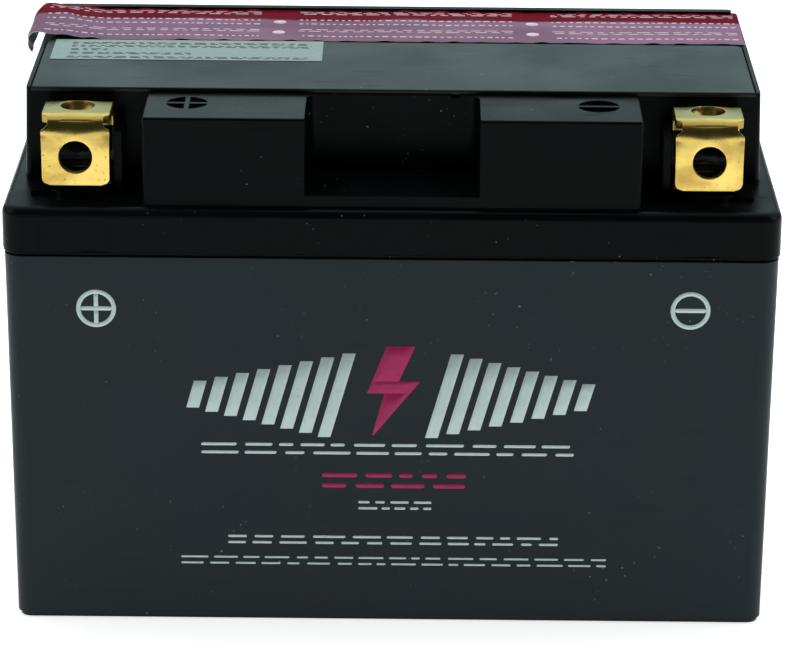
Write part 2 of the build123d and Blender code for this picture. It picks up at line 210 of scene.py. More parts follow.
def waves(along, across, rng, count, shortest, longest):
    """Uneven waves from -1 to 1: a sum of sines of random direction, length and phase, over its size."""
    total = np.zeros(np.broadcast(along, across).shape)
    for _ in range(count):
        turn, phase = rng.uniform(-0.5, 0.5), rng.uniform(0, 2 * math.pi)
        wave = rng.uniform(shortest, longest)
        total += np.sin(2 * math.pi / wave * (along * math.cos(turn) + across * math.sin(turn)) + phase)
    return total / math.sqrt(count)


# ---- printed marks: each is a grid of (u, v) points on a surface --------------------------------------
def pill(u0, u1, v, height, slant=0.0):
    """A bar with round ends. Along it, the half height is that of a half circle near each end and full
    between; u shifts by slant times the height above the bar's middle."""
    radius = min(height, u1 - u0) / 2
    turn = np.linspace(0, math.pi / 2, 5)
    left, right = u0 + radius * (1 - np.cos(turn)), u1 - radius * (1 - np.cos(turn[::-1]))
    between = np.linspace(left[-1], right[0], max(2, int((right[0] - left[-1]) / (1.0 * MM)) + 1))[1:-1]
    u = np.concatenate([left, between, right])
    share = np.concatenate([np.sin(turn), np.ones(len(between)), np.sin(turn[::-1])])
    half = np.maximum(share, 0.3) * height / 2
    rise = np.linspace(-1, 1, 3)[None, :] * half[:, None]
    return np.stack([u[:, None] + slant * rise, v + rise], -1)


def ring(u, v, outer, line):
    """A circle line: the grid runs round it and from its inner to its outer radius."""
    turn = np.linspace(0, 2 * math.pi, 65)[:, None]
    radius = np.linspace(outer - line, outer, 2)[None, :]
    return np.stack([u + radius * np.cos(turn), v - radius * np.sin(turn)], -1)


def patch(lower_left, lower_right, upper_left, upper_right):
    """A flat four-cornered mark: corners mixed along u and then along v."""
    a, b = np.linspace(0, 1, 4)[:, None, None], np.linspace(0, 1, 4)[None, :, None]
    low = (1 - a) * np.array(lower_left) + a * np.array(lower_right)
    high = (1 - a) * np.array(upper_left) + a * np.array(upper_right)
    return (1 - b) * low + b * high


def text_line(rng, u0, u1, v, height, word, gap, slant=0.0):
    """A line of plain bars in place of words, with random lengths, from u0 to u1."""
    marks, u = [], u0
    while u < u1 - word * 0.4:
        end = min(u1, u + word * rng.uniform(0.5, 1.6))
        marks.append(pill(u, end, v, height, slant))
        u = end + gap * rng.uniform(0.8, 1.3)
    return marks


def make_print(name, marks, surface, ink, material, body):
    """Lays printed marks on a surface, a function of u, v and lift, and gives them the ink's thickness."""
    grids = [(surface(mark[..., 0], mark[..., 1], ink), False) for mark in marks]
    piece = make_piece(name, grids, material, body)
    thicken(piece, ink, -1)


# ---- materials -----------------------------------------------------------------------------------
def add_node(tree, kind, settings=(), inputs=()):
    """Adds a node with its settings. An input is a constant or another node's output to link."""
    made = tree.nodes.new(kind)
    for name, value in dict(settings).items():
        setattr(made, name, value)
    for name, value in dict(inputs).items():
        socket = made.inputs[name]
        if isinstance(value, bpy.types.NodeSocket):
            tree.links.new(value, socket)
        else:
            socket.default_value = value
    return made


def start_material(name, **constants):
    """A new material with one Principled shader, its constants set on its own sockets, and Object coordinates."""
    material = bpy.data.materials.new(name)
    material.use_nodes = True
    tree = material.node_tree
    tree.nodes.clear()
    inputs = {key.replace("_", " ").title().replace("Ior", "IOR"): value for key, value in constants.items()}
    shader = add_node(tree, "ShaderNodeBsdfPrincipled", inputs=inputs)
    add_node(tree, "ShaderNodeOutputMaterial", inputs={"Surface": shader.outputs[0]})
    place = add_node(tree, "ShaderNodeTexCoord").outputs["Object"]
    return material, tree, shader, place


def noise(tree, place, size, detail=2.0, stretch=(1, 1, 1)):
    """Noise whose blotches are about size across, in metres, stretched along the axes given."""
    turned = add_node(tree, "ShaderNodeMapping", inputs={"Vector": place, "Scale": [1 / s for s in stretch]})
    made = add_node(
        tree, "ShaderNodeTexNoise", inputs={"Vector": turned.outputs[0], "Scale": 1 / size, "Detail": detail}
    )
    return made.outputs[0]


def between(tree, value, low, high, to_low=0.0, to_high=1.0):
    """Maps a value between low and high smoothly to another range."""
    inputs = {"Value": value, "From Min": low, "From Max": high, "To Min": to_low, "To Max": to_high}
    return add_node(tree, "ShaderNodeMapRange", {"interpolation_type": "SMOOTHSTEP"}, inputs).outputs[0]


def mixed(tree, share, first, second):
    """Mixes two colours by a share."""
    inputs = {0: share, 6: (*first, 1) if isinstance(first, tuple) else first, 7: (*second, 1)}
    return add_node(tree, "ShaderNodeMix", {"data_type": "RGBA"}, inputs).outputs[2]


def shade(tone, factor):
    """A colour made darker or lighter by a factor, each part at most 1."""
    return tuple(min(1, factor * part) for part in tone)


def connect(tree, shader, base, roughness, normal):
    """Links a colour, a roughness and a normal to a shader."""
    for name, output in (("Base Color", base), ("Roughness", roughness), ("Normal", normal)):
        tree.links.new(output, shader.inputs[name])


def bumped(tree, height, distance, strength=1.0, normal=None):
    """A bump of the given height in metres, over another normal if there is one."""
    inputs = {"Height": height, "Distance": distance, "Strength": strength}
    if normal:
        inputs["Normal"] = normal
    return add_node(tree, "ShaderNodeBump", inputs=inputs).outputs[0]


def moulded_polypropylene(name, base, roughness, specular, grain, edge, dust):
    """Injection-moulded black polypropylene: a satin skin with a faint spark-eroded grain, hazy patches where it
    was handled, a few fine scuffs, and specks of dust, which the eye reads first on black plastic."""
    material, tree, shader, place = start_material(name, specular_ior_level=specular, ior=1.49)
    haze = noise(tree, place, 24 * MM, 3)
    scuff = between(tree, noise(tree, place, 1.2 * MM, 1, (9, 1, 1)), 0.66, 0.74)
    speck = between(tree, noise(tree, place, 0.55 * MM, 0), 0.80, 0.86)
    speck = add_node(
        tree, "ShaderNodeMath", {"operation": "MULTIPLY"},
        {0: speck, 1: between(tree, noise(tree, place, 9 * MM, 1), 0.5, 0.7, 0, dust)},
    ).outputs[0]
    tone = mixed(tree, between(tree, haze, 0.35, 0.7), shade(base, 0.85), shade(base, 1.2))
    dusty = mixed(tree, speck, tone, linear("8b9694"))
    rough = between(tree, haze, 0.3, 0.7, roughness - 0.07, roughness + 0.1)
    rougher = add_node(tree, "ShaderNodeMath", {"operation": "MULTIPLY_ADD"}, {0: scuff, 1: 0.12, 2: rough})
    rounded = add_node(tree, "ShaderNodeBevel", {"samples": 4}, {"Radius": edge}).outputs[0]
    wavy = bumped(tree, noise(tree, place, 18 * MM, 1), 0.06 * MM, 0.6, rounded)
    fine = bumped(tree, noise(tree, place, grain, 2), 0.010 * MM, 0.5, wavy)
    connect(tree, shader, dusty, rougher.outputs[0], fine)
    return material


def stamped_brass(name, clean, tarnish, top):
    """Brass strip, stamped and bent: bright but not polished, with darker tarnish in broad smears, drawn lines
    along the strip and small dents, so that its reflections break up. From 3.2 mm below the top upwards the colour
    is mixed towards a darker brown: painted shade for the dark reflection in the bend. The faces near the height
    given as top are mixed towards a duller, greyer tone."""
    material, tree, shader, place = start_material(name, metallic=1.0)
    smear = noise(tree, place, 5 * MM, 4, (1.6, 1, 1))
    spots = between(tree, noise(tree, place, 0.7 * MM, 2), 0.66, 0.8)
    tone = mixed(tree, between(tree, smear, 0.42, 0.72, 0, 0.7), clean, tarnish)
    tone = mixed(tree, spots, tone, linear("6d5426"))
    height = add_node(tree, "ShaderNodeSeparateXYZ", inputs={"Vector": place}).outputs["Z"]
    # painted shade: from 3.2 mm below the top upwards the brass is mixed towards dark brown, for the dark reflection
    # in the bend
    painted_shade_bend = between(tree, height, top - 3.2 * MM, top - 2.2 * MM, 0, 0.75)
    tone = mixed(tree, painted_shade_bend, tone, linear("7f6a30"))
    on_top = between(tree, height, top - 0.5 * MM, top, 0, 0.8)
    tone = mixed(tree, on_top, tone, linear("a09459"))
    drawn = bumped(tree, noise(tree, place, 0.35 * MM, 2, (1, 8, 8)), 0.008 * MM, 0.5)
    dented = bumped(tree, noise(tree, place, 3.2 * MM, 2), 0.05 * MM, 0.7, drawn)
    connect(tree, shader, tone, between(tree, smear, 0.3, 0.7, 0.2, 0.36), dented)
    return material


def lacquered_foil(name, base, painted_sheen_mauve, band):
    """Crimson lacquer over aluminium foil, under clear film, with fine crackle from handling. Behind the line
    y = band the film sits tight and the crimson is deep; in front of it the film stands off, and its sheen is painted
    into the colour as a dull mauve, in uneven patches: a painted reflection. The shader itself reflects very little,
    because at a low angle a reflection greys the crimson."""
    material, tree, shader, place = start_material(name, specular_ior_level=0.003, ior=1.5)
    patchy = noise(tree, place, 9 * MM, 3, (2.5, 1, 1))
    crackle = noise(tree, place, 1.4 * MM, 3, (3, 1, 1))
    back = add_node(tree, "ShaderNodeSeparateXYZ", inputs={"Vector": place}).outputs["Y"]
    wander = between(tree, patchy, 0.3, 0.7, -1.0 * MM, 1.0 * MM)
    place_y = add_node(tree, "ShaderNodeMath", {"operation": "ADD"}, {0: back, 1: wander}).outputs[0]
    tight = between(tree, place_y, band - 0.8 * MM, band + 0.8 * MM)
    # painted reflection: the film's mauve sheen, in uneven patches, painted in front of the band line
    uneven = mixed(tree, between(tree, patchy, 0.3, 0.7), painted_sheen_mauve, shade(painted_sheen_mauve, 0.72))
    connect(tree, shader, mixed(tree, tight, uneven, base), between(tree, patchy, 0.3, 0.7, 0.16, 0.34),
            bumped(tree, crackle, 0.05 * MM, 0.6))
    return material


def plain_foil(name):
    """Bare aluminium on the foil's underside: bright and soft-rolled, with fine rolling lines and creases under a
    milky heat-seal coat, which makes it look paler and less like a mirror."""
    material, tree, shader, place = start_material(name, metallic=0.55, specular_ior_level=0.4)
    rolled = noise(tree, place, 0.5 * MM, 2, (12, 1, 12))
    connect(tree, shader, mixed(tree, rolled, linear("c9cdd0"), linear("eceef0")),
            between(tree, rolled, 0.3, 0.7, 0.34, 0.5), bumped(tree, noise(tree, place, 2 * MM, 3), 0.08 * MM, 0.7))
    return material


def screen_ink(name, base, wear=0.5):
    """Screen-printed ink: matt, slightly uneven in cover, with pinholes."""
    material, tree, shader, place = start_material(name, specular_ior_level=0.3, ior=1.5)
    cover = noise(tree, place, 1.1 * MM, 3)
    worn = mixed(tree, between(tree, cover, 0.52, 0.78, 0, wear), base, shade(base, 0.72))
    connect(tree, shader, worn, between(tree, cover, 0.3, 0.7, 0.5, 0.65), bumped(tree, cover, 0.01 * MM, 0.4))
    return material


def coated_paper(name, base):
    """Coated label paper: satin, with faint fibre mottle and a slight cockle."""
    material, tree, shader, place = start_material(name, specular_ior_level=0.4, ior=1.5)
    fibre = noise(tree, place, 0.8 * MM, 4)
    connect(tree, shader, mixed(tree, fibre, base, shade(base, 0.86)), between(tree, fibre, 0.3, 0.7, 0.42, 0.55),
            bumped(tree, noise(tree, place, 12 * MM, 1), 0.1 * MM, 0.4))
    return material


def poured_resin_and_painted_shade(name, base):
    """Poured epoxy round the terminals: glossy, with the slow ripples and pits of resin that set in place. Its dark
    colour is also given to the posts, the bushings and the terminals' lower rear legs as painted shade.
    """
    material, tree, shader, place = start_material(name, specular_ior_level=0.12, ior=1.55)
    ripple = noise(tree, place, 3.5 * MM, 2)
    connect(tree, shader, mixed(tree, ripple, base, shade(base, 1.6)), between(tree, ripple, 0.3, 0.7, 0.08, 0.2),
            bumped(tree, ripple, 0.2 * MM, 0.6))
    return material


def cast_lead(name, base, shine):
    """Cast lead or pasted grid: dull grey with crystal mottle, rough to matt by how it was made."""
    material, tree, shader, place = start_material(name, metallic=shine)
    crystal = noise(tree, place, 1.6 * MM, 4)
    connect(tree, shader, mixed(tree, crystal, shade(base, 0.7), shade(base, 1.3)),
            between(tree, crystal, 0.3, 0.7, 0.4, 0.7), bumped(tree, crystal, 0.08 * MM, 0.6))
    return material


def fibre_mat(name, base):
    """Glass fibre mat, felt or moulded rubber: matt, with a fine fibrous or dusty mottle."""
    material, tree, shader, place = start_material(name, specular_ior_level=0.2, sheen_weight=0.2)
    fibre = noise(tree, place, 0.4 * MM, 5, (1, 1, 4))
    connect(tree, shader, mixed(tree, fibre, shade(base, 0.8), base), between(tree, fibre, 0.3, 0.7, 0.75, 0.95),
            bumped(tree, fibre, 0.05 * MM, 0.7))
    return material


def finish_nodes(names, material):
    """Gives kept CAD nodes a material."""
    for name in names:
        node = frame["nodes"][name]
        node.data.materials.clear()
        node.data.materials.append(material)


def nodes_named(*parts):
    """Names of the CAD nodes whose names hold any of the words."""
    return [name for name in sorted(frame["nodes"]) if any(part in name for part in parts)]


# ---- operators -----------------------------------------------------------------------------------
class BATTERY_OT_housing(bpy.types.Operator):
    """Finish the case, lid and cover plate, and run the welded seam between them"""
    bl_idname = "battery.housing"
    bl_label = "Housing"

    def execute(self, context):
        s = context.scene.battery_housing
        finishes = (  # node, colour, roughness, specular level, dust
            ("case", s.case_colour, 0.42, 0.19, 0.6),
            ("lid", s.lid_colour, 0.28, 0.055, 0.8),
            ("cover_plate", s.cover_colour, 0.36, 0.22, 1.0),
        )
        for node, base, roughness, specular, dust in finishes:
            material = moulded_polypropylene(
                f"moulded_polypropylene_{node}", tuple(base), roughness, specular, s.grain, s.edge, dust
            )
            finish_nodes([node], material)
        make_flash(s.flash, frame["nodes"]["lid"].data.materials[0])
        return {"FINISHED"}


def make_flash(radius, plastic):
    """The bead of plastic that hot-plate welding squeezes out of the seam under the lid's rim. Its path is the
    rim's rounded rectangle, set in a little: corner centre plus corner radius times (cos, sin), with straight runs
    between the quarters, read off at equal steps of length. Its section is a circle whose radius swells in waves."""
    low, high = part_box("lid")
    corner, inset = 4.0 * MM, 0.35 * MM
    half_x, half_y = (high.x - low.x) / 2 - corner, (high.y - low.y) / 2 - corner
    corner_points, path_points, section_points = 64, 1200, 11
    turn = (np.arange(corner_points) + 0.5) / corner_points * 2 * math.pi
    x = np.sign(np.cos(turn)) * half_x + (corner - inset) * np.cos(turn)
    y = np.sign(np.sin(turn)) * half_y + (corner - inset) * np.sin(turn)
    x, y = np.append(x, x[0]), np.append(y, y[0])
    station = np.append(0, np.cumsum(np.hypot(np.diff(x), np.diff(y))))
    along = np.linspace(0, station[-1], path_points, endpoint=False)
    x, y = np.interp(along, station, x), np.interp(along, station, y)
    out = np.stack([x - np.clip(x, -half_x, half_x), y - np.clip(y, -half_y, half_y)], -1)
    out /= np.linalg.norm(out, axis=-1, keepdims=True)
    swell = 1 + 0.3 * waves(along, 0 * along, np.random.default_rng(3), 9, 4 * MM, 25 * MM)
    around = np.linspace(0, 2 * math.pi, section_points)[None, :]
    reach = radius * swell[:, None]
    px = x[:, None] + out[:, :1] * reach * np.cos(around)
    py = y[:, None] + out[:, 1:] * reach * np.cos(around)
    pz = low.z - 0.15 * MM + reach * np.sin(around)
    centre = (low + high) / 2
    grid = np.stack([centre.x + px, centre.y + py, pz], -1)
    make_piece("weld_flash", [(grid, True)], plastic, "battery")


class BATTERY_OT_inner_parts(bpy.types.Operator):
    """Finish the plates, mats, straps, welds, valve and filter inside the case, and the posts and resin"""
    bl_idname = "battery.inner_parts"
    bl_label = "Inner Parts"

    def execute(self, context):
        finish_nodes(nodes_named("strap", "weld"), cast_lead("cast_lead", linear("8f9296"), 0.8))
        finish_nodes(nodes_named("negative_plates"), cast_lead("spongy_lead_paste", linear("8a8c8e"), 0.1))
        finish_nodes(nodes_named("positive_plates"), cast_lead("lead_dioxide_paste", linear("5e4438"), 0.0))
        finish_nodes(nodes_named("separators"), fibre_mat("glass_fibre_mat", linear("e9e9e6")))
        finish_nodes(nodes_named("filter"), fibre_mat("sintered_filter", linear("dcdad4")))
        finish_nodes(nodes_named("valve_cap"), fibre_mat("moulded_rubber", linear("1c1c1c")))
        # painted shade: the lead posts and the bushings get the black resin finish, standing for the shade under the
        # terminals; the resin seals themselves are resin
        sealed = nodes_named("resin", "post", "bushing")
        finish_nodes(sealed, poured_resin_and_painted_shade("poured_resin_and_painted_shade", linear("060708")))
        return {"FINISHED"}


class BATTERY_OT_terminals(bpy.types.Operator):
    """Bend the two punched brass terminal strips round their nuts"""
    bl_idname = "battery.terminals"
    bl_label = "Terminals"

    def execute(self, context):
        s = context.scene.battery_terminals
        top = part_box("positive_terminal")[1].z
        brass = stamped_brass("stamped_brass", tuple(s.brass), tuple(s.tarnish), top)
        for pole in POLES:
            make_terminal(pole, s, brass, frame["nodes"][f"{pole}_resin_seal"].data.materials[0])
        return {"FINISHED"}


def bent_strip(low, high, bend, thickness, foot_end):
    """Centre line of the strip in Y and Z, as a function of the length s along it: up the front leg, over a
    quarter circle to the top, over another to the rear leg, and round a third to the foot. It gives the point
    and the outward normal, each run and arc starting where the one before it ends."""
    radius = bend - thickness / 2
    half = thickness / 2
    leg_foot = low.z + thickness
    runs = [high.z - bend - leg_foot, high.y - low.y - 2 * bend, high.z - low.z - 2 * bend, high.y - bend - foot_end]
    starts = [np.array([low.y + half, leg_foot])]
    headings = [math.pi / 2, 0.0, -math.pi / 2, -math.pi]
    quarter = radius * math.pi / 2
    stations = [0.0]
    for run, heading in zip(runs, headings):
        along = np.array([math.cos(heading), math.sin(heading)])
        side = np.array([math.sin(heading), -math.cos(heading)])
        starts.append(starts[-1] + run * along + radius * (along + side))
        stations.append(stations[-1] + run + quarter)
    total = stations[-1] - quarter

    def place(s):
        s = np.asarray(s, float)
        point, normal = np.zeros(s.shape + (2,)), np.zeros(s.shape + (2,))
        for i, (run, heading) in enumerate(zip(runs, headings)):
            here = (s >= stations[i]) & ((s < stations[i + 1]) | (i == 3))
            t = s - stations[i]
            straight = np.minimum(t, run)[..., None]
            turn = np.maximum(t - run, 0) / radius * (i < 3)
            along = np.array([math.cos(heading), math.sin(heading)])
            side = np.array([math.sin(heading), -math.cos(heading)])
            arc = radius * (np.sin(turn)[..., None] * along + (1 - np.cos(turn))[..., None] * side)
            out = np.sin(turn)[..., None] * along - np.cos(turn)[..., None] * side
            point[here] = (starts[i] + straight * along + arc)[here]
            normal[here] = out[here]
        return point, normal

    return place, total, runs, quarter


def make_terminal(pole, s, brass, resin):
    """One terminal strip. It is drawn flat, as width x and length s, in four patches: one round the front hole,
    one round the top hole, one for the rear leg and one for its lower end and the foot, which get the black resin
    finish as painted shade for the dark inside of the terminal. In a patch with a hole, a point runs straight from
    the hole's circle to the outline. Then each point goes to the bent centre line, x staying as it is, raised round a
    hole by the dish and drawn back at the front leg's shoulders by the square of x times the square of the climb
    above the hole."""
    low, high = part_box(f"{pole}_terminal")
    middle, half_width = (low.x + high.x) / 2, (high.x - low.x) / 2
    front, top = MOUNTS[f"{pole}_front_hole"], MOUNTS[f"{pole}_top_hole"]
    radius = front["dims"]["r_mm"] * MM
    foot_end = high.y - 10 * MM
    place, total, runs, quarter = bent_strip(low, high, s.bend, s.thickness, foot_end)
    front_s = front["pos_m"][2] - low.z - s.thickness
    top_s = runs[0] + quarter + top["pos_m"][1] - low.y - s.bend
    waist_low = high.z - s.waist_drop - low.z - s.thickness
    waist_high = runs[0] + 0.75 * quarter
    split = (waist_low + waist_high) / 2
    end = min(top_s + radius + 2.2 * MM, runs[0] + quarter + runs[1] + quarter)

    def outline(length):
        """Half width at a length along the strip: full, less the round corner at the end and the waist."""
        corner = np.clip(length, 0, s.corner)
        rounding = s.corner - np.sqrt(np.maximum(s.corner**2 - (s.corner - corner) ** 2, 0))
        rise = np.clip((length - waist_low + 0.5 * MM) / (1.1 * MM), 0, 1)
        fall = np.clip((waist_high + 0.3 * MM - length) / (0.6 * MM), 0, 1)
        notch = s.waist * (rise * rise * (3 - 2 * rise)) * (fall * fall * (3 - 2 * fall))
        return half_width - rounding - notch

    def holed(start, stop, centre):
        """A patch round a hole at the length given as centre, from the hole's circle to the outline."""
        steps, rings = 28, 12
        side = np.linspace(start, stop, steps + 1)
        bottom = np.linspace(-1, 1, steps + 1)
        x = np.concatenate([bottom[:-1] * outline(start), outline(side)[:-1], -bottom[:-1] * outline(stop),
                            -outline(side[::-1])[:-1]])
        y = np.concatenate([np.full(steps, start), side[:-1], np.full(steps, stop), side[::-1][:-1]])
        angle = np.arctan2(y - centre, x)
        share = (np.linspace(0, 1, rings) ** 1.3)[None, :]
        gx = radius * np.cos(angle)[:, None] * (1 - share) + x[:, None] * share
        gy = centre + radius * np.sin(angle)[:, None] * (1 - share) + (y - centre)[:, None] * share
        return bent(gx, gy, centre)[::-1], True

    def bent(x, length, centre=None):
        """Takes flat points to the bent strip, with the rim round a hole and the shoulders."""
        point, normal = place(length)
        lift = np.zeros(np.shape(length))
        if centre is not None:
            away = np.hypot(x, length - centre) - radius
            lift = s.dish * np.exp(-((away / (1.6 * MM)) ** 2))
        climb = np.clip((length - front_s) / (runs[0] - front_s), 0, 1) * (length < runs[0] + quarter)
        back = np.clip((runs[0] + quarter - length) / quarter, 0, 1)
        lift = lift - s.shoulder * (x / half_width) ** 2 * climb**2 * back
        y = point[..., 0] + lift * normal[..., 0]
        z = point[..., 1] + lift * normal[..., 1]
        return np.stack([middle + x, y, z], -1)

    # painted shade: from this length down, the strip gets the dark resin finish
    painted_shade_from = runs[0] + quarter + runs[1] + quarter + s.bare
    columns, leg_rows, foot_rows = 29, 24, 40
    width_line = np.linspace(-half_width, half_width, columns)
    x, leg = np.meshgrid(width_line, np.linspace(end, painted_shade_from, leg_rows), indexing="ij")
    foot = np.meshgrid(width_line, np.linspace(painted_shade_from, total, foot_rows), indexing="ij")[1]
    grids = [
        (bent(np.repeat(x[:, :1], foot_rows, 1), foot), False),
        holed(0.0, split, front_s),
        holed(split, end, top_s),
        (bent(x, leg), False),
    ]
    strip = make_piece(f"{pole}_terminal_strip", grids, brass, "battery")
    strip.data.materials.append(resin)
    # painted shade: the faces of the lower rear leg and the foot get the dark resin material
    painted_shade_faces = np.arange(len(strip.data.polygons)) < (columns - 1) * (foot_rows - 1)
    strip.data.polygons.foreach_set("material_index", painted_shade_faces.astype(int))
    thicken(strip, s.thickness, 0)
    tumbled = strip.modifiers.new("tumbled", "BEVEL")
    tumbled.width, tumbled.segments = s.burr, 3
    tumbled.limit_method, tumbled.angle_limit = "ANGLE", math.radians(50)
    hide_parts(f"{pole}_terminal")


def foil_surface(settings):
    """The foil as a function of the length u from its right end and the place v across it, from its middle.
    The line along it is straight, then rises as 3t^2 - 2t^3 to the tail's height, then turns down on a circle.
    Across, it swells slowly from the front edge and drops quickly to the rear one. Creases lift it along its
    normal: short ones near both long edges, broad ones in the tail."""
    low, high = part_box("foil_seal")
    half = 0.125 * MM
    middle = (low.y + high.y) / 2
    curl_x = low.x + settings.curl + half
    top = high.z - half
    flat_z = top - settings.rise
    leave = high.x - (curl_x + settings.tail)
    curl = high.x - curl_x
    width = high.y - low.y
    rng = np.random.default_rng(41)
    seeds = rng.integers(1, 9999, 4)

    def place(u, v, lift=0.0):
        u, v = np.broadcast_arrays(np.asarray(u, float), np.asarray(v, float))
        t = np.clip((u - leave) / (curl - leave), 0, 1)
        slope = settings.rise * 6 * t * (1 - t) / (curl - leave)
        turn = np.maximum(u - curl, 0) / settings.curl
        x = high.x - np.minimum(u, curl) - settings.curl * np.sin(turn)
        z = flat_z + settings.rise * t * t * (3 - 2 * t) - settings.curl * (1 - np.cos(turn))
        normal_x, normal_z = -np.sin(turn) + slope, np.cos(turn)
        edge = width / 2 - np.abs(v)
        fine = waves(u, v, np.random.default_rng(seeds[0]), 9, 3 * MM, 9 * MM)
        broad = waves(u * 0.7, v * 1.5, np.random.default_rng(seeds[1]), 7, 12 * MM, 40 * MM)
        tail = waves(u, v * 2, np.random.default_rng(seeds[2]), 7, 5 * MM, 14 * MM)
        across = v / width + 0.5
        peak = 0.8
        swell = np.where(across < peak, across / peak, (1 - across) / (1 - peak))
        crease = settings.pillow * np.sin(np.clip(swell, 0, 1) * math.pi / 2) ** 1.5
        crease = crease + settings.wrinkle * np.exp(-edge / (1.6 * MM)) * np.maximum(fine, -0.3)
        crease = crease + 0.05 * MM * (broad + 1)
        crease = crease + 0.22 * MM * t * np.maximum(tail, -0.6)
        crease = np.clip(crease, -0.05 * MM, 0.8 * MM)
        y = middle + v + 0.12 * MM * np.exp(-edge / (1.0 * MM)) * np.sign(-v) * np.maximum(fine, 0)
        return np.stack([x + normal_x * (crease + lift), y, z + normal_z * (crease + lift)], -1)

    total = curl + settings.curl * settings.curl_turn
    return place, total, width


class BATTERY_OT_foil(bpy.types.Operator):
    """Lay the crimson foil over the filler ports, its tail lifted and curled, with its white print"""
    bl_idname = "battery.foil"
    bl_label = "Foil Seal"

    def execute(self, context):
        s = context.scene.battery_foil
        place, total, width = foil_surface(s)
        u, v = np.linspace(0, total, 520)[:, None], np.linspace(-width / 2, width / 2, 90)[None, :]
        grid = place(u, v)[:, ::-1]
        low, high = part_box("foil_seal")
        lacquer = lacquered_foil("lacquered_foil", tuple(s.colour), tuple(s.painted_sheen_mauve), high.y - 9.0 * MM)
        foil = make_piece("foil_strip", [(grid, False)], lacquer, "foil_seal")
        foil.data.materials.append(plain_foil("plain_foil"))
        thicken(foil, s.thickness, -1, 1)
        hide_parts("foil_seal")
        rng = np.random.default_rng(7)
        marks = []
        period = 52 * MM
        large, small = (1.9, 0.9), (0.9, 0.55)
        # each row: place across, height, word length and gap, in millimetres
        rows = ((9.2, 0.45, *large), (8.1, 0.4, *large), (7.0, 0.45, *large),
                (2.5, 0.65, *small), (-0.3, 0.65, *small),
                (-4.2, 0.4, *large), (-5.3, 0.4, *large), (-8.6, 0.65, *small))
        for v_row, height, word, gap in rows:
            for start in np.arange(-9 * MM, total - 6 * MM, period):
                first, last = max(start + 4 * MM, 1 * MM), min(start + period - 4 * MM, total - 5 * MM)
                if last > first:
                    marks += text_line(rng, first, last, v_row * MM, height * MM, word * MM, gap * MM)
        for start in np.arange(-9 * MM + period, total, period):
            marks += [pill(start - 1.3 * MM, start + 1.3 * MM, row * MM, 2.5 * MM) for row in (1.0, -6.2)]
        ink = screen_ink("white_foil_print", tuple(s.print_colour), 0.9)
        make_print("foil_print", [m[:, ::-1] for m in marks], place, 0.02 * MM, ink, "foil_seal")
        return {"FINISHED"}


class BATTERY_OT_label(bpy.types.Operator):
    """Finish the paper label on the cover plate and print five lines of plain bars on it"""
    bl_idname = "battery.label"
    bl_label = "Label"

    def execute(self, context):
        s = context.scene.battery_label
        finish_nodes(["top_label"], coated_paper("coated_paper", tuple(s.paper)))
        low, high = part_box("top_label")

        def surface(u, v, lift):
            return np.stack([low.x + u, low.y + v, np.full(np.shape(u), high.z + lift)], -1)

        rng = np.random.default_rng(12)
        marks = []
        # each row: place across, start and stop, in millimetres
        rows = ((12.4, 3.6, 51.5), (10.2, 3.6, 51.5), (7.6, 3.6, 11.0), (4.9, 3.6, 28.0), (2.0, 3.2, 51.5))
        for v, start, stop in rows:
            for drop in (0, 0.75):
                marks += text_line(rng, start * MM, stop * MM, (v - drop) * MM, 0.4 * MM, 1.6 * MM, 0.7 * MM)
        make_print("label_print", marks, surface, s.ink, screen_ink("grey_label_ink", tuple(s.text)), "battery")
        return {"FINISHED"}


class BATTERY_OT_front_print(bpy.types.Operator):
    """Print the polarity signs, a plain bolt emblem and lines of plain bars on the front of the case"""
    bl_idname = "battery.front_print"
    bl_label = "Front Print"

    def execute(self, context):
        s = context.scene.battery_print
        low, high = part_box("case")
        shoulder = high.z - 1.0 * MM

        def surface(u, v, lift):
            """Front of the case: u is X and v is height, and Y goes back with the draft."""
            return np.stack([u, low.y + (shoulder - v) * math.tan(s.draft) - lift, v], -1)

        pale, crimson = [], []
        for sign, x, z in ((1, -57.0, 65.6), (-1, 57.8, 66.2)):
            x, z, line, arm = x * MM, z * MM, 0.85 * MM, 3.0 * MM
            pale.append(ring(x, z, 3.85 * MM, line))
            pale.append(pill(x - arm, x + arm, z, line))
            if sign > 0:
                left, right = x - line / 2, x + line / 2
                for low_z, high_z in ((z + line / 2, z + arm), (z - arm, z - line / 2)):
                    pale.append(patch((left, low_z), (right, low_z), (left, high_z), (right, high_z)))
        middle_z, slant = 48 * MM, 0.28
        for side in (-1, 1):
            for step in range(8):
                x = side * (10.5 + 3.9 * step) * MM
                pale.append(slanted_bar(x, middle_z, 2.5 * MM, (17.5 - 1.7 * step) * MM, slant))
        crimson += bolt(0.0, middle_z + 1 * MM, 9.3 * MM)
        rng = np.random.default_rng(5)
        for drop in (0, 1.7):
            pale += text_line(rng, -37 * MM, 36 * MM, (37.6 - drop) * MM, 0.6 * MM, 5 * MM, 1.4 * MM, 0.2)
        for drop in (0, 2.2):
            crimson += text_line(rng, -13.3 * MM, 15 * MM, (31.2 - drop) * MM, 0.9 * MM, 5 * MM, 1.5 * MM)
        for drop in (0, 1.3):
            pale += text_line(rng, -6.2 * MM, 8.2 * MM, (25.5 - drop) * MM, 0.5 * MM, 3 * MM, 1 * MM)
            pale += text_line(rng, -31.9 * MM, 33.3 * MM, (18.0 - drop) * MM, 0.5 * MM, 4 * MM, 1.3 * MM)
            pale += text_line(rng, -41.2 * MM, 42.9 * MM, (13.5 - drop) * MM, 0.4 * MM, 3.4 * MM, 1.2 * MM)
        for name, marks, base in (("front_print_pale", pale, s.pale), ("front_print_crimson", crimson, s.crimson)):
            make_print(name, marks, surface, s.ink, screen_ink(f"{name}_ink", tuple(base)), "battery")
        return {"FINISHED"}


